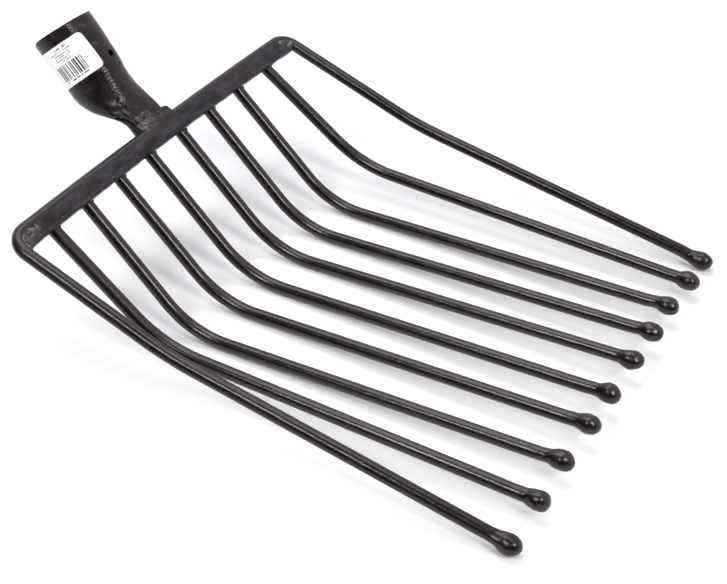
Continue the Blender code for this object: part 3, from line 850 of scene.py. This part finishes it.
# distance from the mouth, angle round the socket; 0 degrees is its upper side, 90 is +X
SEAM_LINE = ((0, 30), (10, 28), (22, 24), (34, 21), (48, 19), (57, 23), (66, 33), (76, 40),
             (90, 44))
CREASE_LINE = ((58, 132), (66.5, 102), (70, 88), (76, 71), (79.5, 61), (83, 54), (92, 46))
CREASE_FROM = 58
MOUTH_SKEW = 3.0                                # degrees the mouth is cut off square
MOUTH_SKEW_X, MOUTH_SKEW_UP = -0.743, 0.669     # the way the cut leans
MOUTH_BULGE_DEG = 134                           # where the mouth swells and is worn back
MOUTH_ROUND = 0.55
NAIL_DIST, NAIL_DEG, NAIL_R = 31.0, -12.0, 2.6


def station(dist):
    """The station columns after the first, interpolated smoothly at dist."""
    rows = SOCKET_STATIONS
    k = max(i for i in range(len(rows)) if rows[i][0] <= dist + 1e-9)
    k = min(k, len(rows) - 2)
    p0, p1, p2, p3 = rows[max(k - 1, 0)], rows[k], rows[k + 1], rows[min(k + 2, len(rows) - 1)]
    u = (dist - p1[0]) / (p2[0] - p1[0])
    values = []
    for j in range(1, 7):
        m1 = (p2[j] - p0[j]) / (p2[0] - p0[0]) * (p2[0] - p1[0])
        m2 = (p3[j] - p1[j]) / (p3[0] - p1[0]) * (p2[0] - p1[0])
        values.append((2 * u ** 3 - 3 * u ** 2 + 1) * p1[j] + (u ** 3 - 2 * u ** 2 + u) * m1
                      + (-2 * u ** 3 + 3 * u ** 2) * p2[j] + (u ** 3 - u ** 2) * m2)
    return values


def along(line, dist):
    """Value of a (distance, value) line at dist, eased between its points."""
    for (d0, v0), (d1, v1) in zip(line, line[1:]):
        if dist <= d1:
            return v0 + (v1 - v0) * smooth(max(0.0, dist - d0) / (d1 - d0))
    return line[-1][1]


def signed_turn(deg):
    return (deg + 180) % 360 - 180


def lap(deg, dist):
    """Share of the seam step: full at the lapped edge, fading over the upper sheet."""
    return max(0.0, 1 - ((along(SEAM_LINE, dist) - deg) % 360) / 90)


def drape(deg, dist):
    """The same for a film laid over the edge: it slopes down to the lower sheet."""
    turn = signed_turn(deg - along(SEAM_LINE, dist))
    return lap(deg, dist) if turn <= 0 else 1 - smooth(turn / 16)


def rise(dist, turn):
    """How far the lower sheet is built up toward the lapped edge, turn degrees from it."""
    return 1.3 * smooth((dist - 31) / 6) * (1 - smooth((dist - 61) / 6)) * bell(turn, 17)


def crease(dist, deg, half_width, half_height):
    """A fold line across the lower sheet, with a swell of weld beside it."""
    t = math.radians(deg)
    offset = (math.radians(deg - along(CREASE_LINE, dist))
              * math.hypot(half_width * math.cos(t), half_height * math.sin(t)))
    swell = 1.3 * bell(offset + 2.6, 2.2)
    return smooth((dist - 60) / 7) * (
        -1.7 * bell(offset, 0.75) + swell * (1 + 0.5 * noise_at(dist * 0.5, deg * 0.06, 2.2)))


def relief(dist, deg, half_width, half_height):
    """The lower sheet's height: its rise to the seam, then the crease near the header."""
    deg = signed_turn(deg)
    turn = deg - along(SEAM_LINE, dist)
    height = rise(dist, turn) if 0 < turn < 60 else 0.0
    if dist >= CREASE_FROM and deg >= 0:
        height += crease(dist, deg, half_width, half_height)
    return height


def socket_point(dist, deg, out=0.0, proud=lap, dents=True):
    """A point on the socket, out from its surface; proud(deg, dist) is the share of the step."""
    y, z, tilt, half_width, half_height, power = station(dist)
    a = math.radians(tilt)
    section_up = Vector((0, math.sin(a), math.cos(a)))
    to_mouth = Vector((0, -math.cos(a), math.sin(a)))
    t = math.radians(deg)
    s, c = math.sin(t), math.cos(t)
    fade = max(0.0, min(1.0, (82 - dist) / 12))
    extra = out + SEAM_STEP * proud(deg, dist) * fade
    if dents:
        extra += 0.25 * noise_at(s * 1.3, c * 1.3, dist * 0.045)
        extra += 0.12 * noise_at(s * 3, c * 3, dist * 0.13 + 4)
        extra += relief(dist, deg, half_width, half_height)
    turned = signed_turn(deg - MOUTH_BULGE_DEG)
    extra += 0.9 * bell(turned, 26) * max(0.0, 1 - dist / 30)
    x = math.copysign(abs(s) ** (2 / power), s) * (half_width + extra)
    up = math.copysign(abs(c) ** (2 / power), c) * (half_height + extra)
    skew = (max(0.0, 1 - dist / 20) * math.tan(math.radians(MOUTH_SKEW))
            * (x * MOUTH_SKEW_X + up * MOUTH_SKEW_UP))
    worn = 2.2 * bell(turned - 6, 22) * max(0.0, 1 - dist / 8)
    return Vector((0, y, z)) + Vector((x, 0, 0)) + section_up * up - to_mouth * (skew + worn)


def rolled_socket():
    # angles back from the seam, close together at the lapped edge and over the crease
    turns = [0.25, 0.7, 1.4, 2.6, 4.5] + [7 + 224 * i / 53 for i in range(54)]
    turns += [232.5 + 1.5 * i for i in range(83)] + [356.6, 357.8, 358.7, 359.3, 359.75]
    n = len(turns)

    def ring(dist, out):
        seam = along(SEAM_LINE, dist)
        return [socket_point(dist, seam - t, out) for t in turns]

    end = SOCKET_STATIONS[-1][0]
    dists = [1.6 + i * 1.6 for i in range(34)]
    dists += [dists[-1] + 0.9 * (i + 1) for i in range(60)]
    dists = [d for d in dists if d < end - 0.6] + [end]

    # the mouth's edges are broken by a small round, outside and inside
    outside, inside = [], []
    for k in range(5):
        t = math.radians(90 * k / 4)
        dist = MOUTH_ROUND * (1 - math.cos(t))
        inset = MOUTH_ROUND * (1 - math.sin(t))
        outside.append(ring(dist, -inset))
        inside.append(ring(dist, -SOCKET_WALL + inset))
    outside += [ring(d, 0.0) for d in dists]
    inside += [ring(3 + i * 3, -SOCKET_WALL) for i in range(19)]
    inside += [ring(60 + i, -SOCKET_WALL - 0.5) for i in (0, 2, 4)]

    verts = [p for r in outside + inside for p in r]
    base = len(outside) * n
    faces = ring_faces(len(outside), n)
    faces += [(a, d, c, b) for a, b, c, d in ring_faces(len(inside), n, base)]
    for i in range(n):
        j = (i + 1) % n
        faces.append((i, base + i, base + j, j))
    faces.append(tuple(range(base - n, base)))
    faces.append(tuple(range(len(verts) - n, len(verts)))[::-1])
    obj = make("rolled_socket", verts, faces, MAT_SOCKET, ("socket",))
    drill_nail_hole(obj)
    sharpen(obj, 50)


def drill_nail_hole(obj):
    centre = socket_point(NAIL_DIST, NAIL_DEG)
    inward = (socket_point(NAIL_DIST, NAIL_DEG, -SOCKET_WALL, dents=False)
              - socket_point(NAIL_DIST, NAIL_DEG, dents=False)).normalized()
    bm = bmesh.new()
    bmesh.ops.create_cone(bm, cap_ends=True, segments=40, radius1=NAIL_R, radius2=NAIL_R, depth=12)
    drill = bpy.data.meshes.new("nail_hole_tool")
    bm.to_mesh(drill)
    bm.free()
    turn = UP.rotation_difference(inward).to_matrix().to_4x4()
    drill.transform(WORLD @ Matrix.Translation(centre) @ turn)
    drill.materials.append(MAT_SOCKET)
    tool = add_object("nail_hole_tool", drill)
    cut = obj.modifiers.new("nail_hole", "BOOLEAN")
    cut.operation = "DIFFERENCE"
    cut.solver = "EXACT"
    cut.object = tool
    bpy.context.view_layer.update()
    depsgraph = bpy.context.evaluated_depsgraph_get()
    mesh = bpy.data.meshes.new_from_object(obj.evaluated_get(depsgraph))
    obj.modifiers.clear()
    old = obj.data
    obj.data = mesh
    bpy.data.meshes.remove(old)
    bpy.data.objects.remove(tool, do_unlink=True)


def seam_bead(name, nodes, start, end, radius, out, knob):
    """A bead along the socket's lapped edge, between two distances from the mouth."""
    points = []
    for i in range(50):
        d = start + (end - start) * i / 49
        deg = along(SEAM_LINE, d) + 3.0 + 1.6 * noise_at(d * 0.14, 2.2, 0)
        points.append(socket_point(d, deg, out + 0.75 * rise(d, 3.0),
                                   proud=lambda deg, dist: 0.30, dents=False))
    bead(name, points, radius, nodes, lump=0.26, pitch=2.5, seed=3.3, sides=26, step=0.3,
         scallop=0.36, material=MAT_BEAD, lump_scale=0.28, knob=knob)


# ---------------------------------------------------------------- neck welds
# heap on a neck pad: height, place along X and ahead, spread along X and ahead
Heap = namedtuple("Heap", "height x ahead x_spread ahead_spread")


def neck_pad(name, x0, x1, nodes, material, heap, lump, seed, front=8.0):
    """Weld heaped over the header where the socket joins: it sinks away at its border."""
    rows, columns = max(20, int((x1 - x0) * 2.2)), 46
    top, low = [], []
    for i in range(rows + 1):
        x = x0 + (x1 - x0) * i / rows
        back = -11.0 + 0.67 * max(0.0, -15.0 - x)
        for j in range(columns + 1):
            a = back + (front - back) * j / columns
            jitter = 1.6 * noise_at(x * 0.16, a * 0.16, seed)
            inside = (smooth((x - x0 + jitter - 0.3) / 3.6) * smooth((x1 - x + jitter - 0.3) / 3.6)
                      * smooth((a - back + jitter * 0.5 - 0.3) / 2.6)
                      * smooth((front - a + jitter - 1.0) / 4.2))
            ground = 4.15 + (0.10 * a if a < 0 else 0.0)
            mound = heap.height * math.exp(-((x - heap.x) / heap.x_spread) ** 2
                                           - ((a - heap.ahead) / heap.ahead_spread) ** 2)
            rough = lump * smooth((3.0 - a) / 4.0)
            h = (ground + mound
                 + rough * (1.5 * noise_at(x * 0.19 + seed, a * 0.20, seed)
                            + 0.9 * noise_at(x * 0.36, a * 0.36, seed + 4))
                 + 0.12 * noise_at(x * 0.4, a * 0.4, seed))
            onto = smooth((a + 4.5) / 5.5)      # 0 behind the rod, 1 in front of its centre
            sunk = -1.2 + 4.7 * onto
            h = h * inside + sunk * (1 - inside)
            top.append(strip_point(x, a, h))
            low.append(strip_point(x, a, min(h - 0.3, -1.6 + 4.0 * onto)))
    slab(name, top, low, rows, columns, material, nodes)


def neck_under_bead():
    points = [strip_point(-15 + 30 * i / 20, -2.6, -4.6) for i in range(21)]
    bead("neck_under_bead", points, 2.4, ("neck_weld_under",), lump=0.4, pitch=2.6, seed=6.1)


# the run of weld on the lower sheet: distance from the mouth, degrees
RUN_CENTRE = ((60, 34), (64, 40), (70, 46), (75, 41), (80, 24), (88, 10))
RUN_HALF_WIDTH = ((60, 4), (66, 9), (74, 11), (82, 16), (88, 18))


def neck_weld_run():
    """A run of weld from the seam's end, spreading into a rough mass at the header."""
    rows, columns = 74, 104
    d0, d1, deg0, deg1 = 61.0, 87.0, -58.0, 60.0
    top, low = [], []
    for i in range(rows + 1):
        d = d0 + (d1 - d0) * i / rows
        centre = along(RUN_CENTRE, d)
        half = along(RUN_HALF_WIDTH, d)
        for j in range(columns + 1):
            deg = deg0 + (deg1 - deg0) * j / columns
            run = 1 - smooth((abs(deg - centre) - half * 0.55) / (half * 0.7))
            mass = (smooth((d - 76.0 + 2.2 * noise_at(deg * 0.07, 5.1, 0)) / 3.0)
                    * (1 - smooth((abs(deg - 18) - 18) / 12)))
            mask = max(run * smooth((d - d0) / 2.5), mass)
            q = socket_point(d, deg, dents=False)
            lumps = (1.9 + 0.9 * noise_at(q.x * 0.30, q.y * 0.30, q.z * 0.30 + 3.3)
                     + 1.5 * noise_at(q.x * 0.20 + 7, q.y * 0.20, q.z * 0.20))
            out = max(-0.9 + mask * lumps, -0.9)
            top.append(socket_point(d, deg, out, dents=False))
            low.append(socket_point(d, deg, -1.5, dents=False))
    slab("neck_weld_run", top, low, rows, columns, MAT_WELD, ())


# ---------------------------------------------------------------- sticker
STICKER_FROM, STICKER_TO = 8.6, 34.8        # distance from the mouth
STICKER_DEG = (19.5, 146.0)                 # its width round the socket
STICKER_R = 20.6                            # radius it is wrapped at
STICKER_CORNER = 3.0
STICKER_THICK = 0.16


def sticker():
    rows, columns = 40, 110
    wide = math.radians(STICKER_DEG[1] - STICKER_DEG[0]) * STICKER_R
    length = STICKER_TO - STICKER_FROM
    sheets, uv = ([], []), []
    for sheet, thick in zip(sheets, (0.0, STICKER_THICK)):
        for i in range(rows + 1):
            v = 0.5 - 0.5 * math.cos(math.pi * i / rows)      # closer rows at both ends
            d = STICKER_FROM + length * v
            near = min(v, 1 - v) * length
            inset = 0.0
            if near < STICKER_CORNER:
                inset = STICKER_CORNER - math.sqrt(
                    max(0.0, STICKER_CORNER ** 2 - (STICKER_CORNER - near) ** 2))
            lean = 24.0 - 0.19 * (d - 8)
            for j in range(columns + 1):
                u = inset + (wide - 2 * inset) * j / columns
                deg = lean + math.degrees(u / STICKER_R) - 3.0
                lift = (0.16 + 0.10 * noise_at(u * 0.12, v * 3, 1.9)
                        + 0.5 * bell(deg - along(SEAM_LINE, d) - 2, 4.5))
                sheet.append(socket_point(d, deg, lift + thick, proud=drape))
                uv.append((u, v * length))
    obj = slab("film_sticker", *sheets, rows, columns, MAT_STICKER, ("sticker",),
               slot="white_paper", uv=uv)
    sharpen(obj, 50)


# ---------------------------------------------------------------- studio, metres
def floor_white(graph):
    coords = graph.coords()
    cloud = graph.noise(coords, 5, detail=2)
    # for glossy rays the floor turns dark toward +X, so reflections of it fall off there
    x = graph.add("SeparateXYZ", {0: coords}, "X")
    shade = graph.math("MULTIPLY", graph.add("LightPath", output="Is Glossy Ray"),
                       graph.remap(x, to=(0.0, 0.85), source=(0.20, 0.48)))
    plain = graph.ramp(cloud, (0.3, (0.92, 0.92, 0.925)), (0.7, (0.94, 0.94, 0.94)))
    # away from the lamps the sweep is kept white for the camera, so no dark band shows
    away = graph.add("VectorMath", {0: coords}, "Value", operation="LENGTH")
    lit = graph.math("MULTIPLY", graph.add("LightPath", output="Is Camera Ray"),
                     graph.remap(away, to=(0.0, 0.62), source=(0.35, 1.5)))
    return {"Roughness": 0.9, "Specular IOR Level": 0.1,
            "Base Color": graph.mix_color(shade, plain, (0.02, 0.02, 0.02)),
            "Emission Color": (1, 1, 1), "Emission Strength": lit}


def floor():
    bm = bmesh.new()
    bmesh.ops.create_grid(bm, x_segments=1, y_segments=1, size=6)
    mesh = bpy.data.meshes.new("studio_floor")
    bm.to_mesh(mesh)
    bm.free()
    mesh.materials.append(new_material("studio_floor_white", floor_white))
    obj = add_object("studio_floor", mesh)
    obj.location = (0, 0, -0.0006)


LAMP_TARGET = Vector((0, 0.02, 0.04))
# name, direction from the target, distance, width, height, watts, colour
LAMPS = (
    ("softbox_left", (0.68, -0.18, 0.71), 1.8, 0.50, 0.50, 12.0, (1.0, 0.98, 0.97)),
    ("softbox_right", (0.33, 0.66, 0.67), 1.8, 0.45, 0.60, 15.0, (1.0, 0.98, 0.98)),
    ("overhead", (-0.22, -0.28, 0.935), 1.6, 1.3, 1.1, 15.5, (0.99, 0.98, 1.0)),
)


def lamp(name, direction, distance, width, height, power, color):
    data = bpy.data.lights.new(name, "AREA")
    data.shape = "RECTANGLE"
    data.size = width
    data.size_y = height
    data.energy = power
    data.color = color
    obj = add_object(name, data)
    direction = Vector(direction).normalized()
    obj.location = LAMP_TARGET + direction * distance
    obj.rotation_mode = "QUATERNION"
    obj.rotation_quaternion = (-direction).to_track_quat("-Z", "Y")


def studio_world():
    """White to the camera, an even fill for diffuse light, and its own sky for reflections."""
    world = bpy.data.worlds.new("studio")
    bpy.context.scene.world = world
    graph = Graph(world)
    rays = graph.outputs("LightPath")
    seen = graph.add("Background", {"Color": (1, 1, 1), "Strength": 1.05})
    fill = graph.add("Background", {"Color": (0.93, 0.93, 1.0), "Strength": 0.39})
    toward = graph.outputs("SeparateXYZ", {0: graph.coords("Generated")})
    sky = graph.ramp(toward["Z"], (0.0, (0.02, 0.02, 0.022)), (0.35, (0.03, 0.03, 0.034)),
                     (0.75, (0.16, 0.155, 0.17)))
    # white backdrop on the -X side, fading overhead
    backdrop = graph.math("MULTIPLY",
                          graph.remap(toward["X"], to=(0.0, 1.0), source=(0.26, -0.05)),
                          graph.remap(toward["Z"], to=(1.0, 0.3), source=(0.62, 0.85)))
    sky = graph.mix_color(backdrop, sky, (1.05, 1.0, 1.03))
    # bright ceiling over the ball ends
    ceiling = graph.math("MULTIPLY",
                         graph.remap(toward["Z"], to=(0.0, 1.0), source=(0.70, 0.80)),
                         graph.remap(toward["Y"], to=(0.0, 1.0), source=(0.05, 0.30)))
    sky = graph.mix_color(ceiling, sky, (1.6, 1.52, 1.56))
    gloss = graph.add("Background", {"Color": sky, "Strength": 1.0})
    unseen = graph.add("MixShader", {0: rays["Is Glossy Ray"], 1: fill, 2: gloss})
    surface = graph.add("MixShader", {0: rays["Is Camera Ray"], 1: unseen, 2: seen})
    graph.outputs("OutputWorld", {"Surface": surface})


# camera place and axes, in the header's frame, millimetres
CAM_POS = Vector((677.406, 549.714, 493.755))
CAM_RIGHT = Vector((-0.4960488, 0.8682931, 0.00163848))
CAM_DOWN = Vector((0.51427719, 0.29532176, -0.80517329))
CAM_FORWARD = Vector((-0.69961029, -0.39856261, -0.59303734))


def camera():
    data = bpy.data.cameras.new("camera")
    data.sensor_width = 36.0
    data.lens = 74.526615681
    data.shift_x = 0.00029160935
    data.shift_y = -0.00017744154
    data.clip_start = 0.05
    data.clip_end = 50
    obj = add_object("camera", data)
    turn = Matrix.Rotation(math.radians(REST_TILT), 3, "X")
    axes = Matrix((turn @ CAM_RIGHT, turn @ -CAM_DOWN, turn @ -CAM_FORWARD)).transposed()
    obj.matrix_world = Matrix.Translation(WORLD @ CAM_POS) @ axes.to_4x4()
    bpy.context.scene.camera = obj


# ---------------------------------------------------------------- build
INNER = [(pair, side) for pair in range(len(INNER_TINES)) for side in (-1, 1)]

for pair, side in INNER:
    inner_tine(pair, side)
frame_rod()
header_strip()
groove_weld()
for pair, side in INNER:
    tine_weld(pair, side)
corner_fill("corner_fill_left", 1, "corner_weld_left", seed=4.1)
corner_fill("corner_fill_right", -1, "corner_weld_right", seed=8.6)
rolled_socket()
seam_bead("seam_bead", ("socket_seam_weld",), start=35.2, end=67.0, radius=2.25, out=0.55,
          knob=0.5)
seam_bead("seam_bead_mouth", (), start=0.9, end=8.0, radius=1.6, out=0.75, knob=0.0)
neck_pad("neck_weld_pad_right", -20.5, 5.0, ("neck_weld_front", "neck_weld_mid"), MAT_HEADER,
         Heap(0.3, -9.0, -3.0, 5.0, 3.4), lump=0.10, seed=5.8)
neck_pad("neck_weld_pad_left", -3.0, 17.0, ("neck_weld_back",), MAT_WELD,
         Heap(0.4, 8.0, -4.5, 5.0, 3.2), lump=0.8, seed=1.4, front=4.5)
neck_under_bead()
neck_weld_run()
sticker()

floor()
for entry in LAMPS:
    lamp(*entry)
studio_world()
bpy.context.scene.view_settings.view_transform = "Standard"
bpy.context.scene.view_settings.look = "None"
camera()
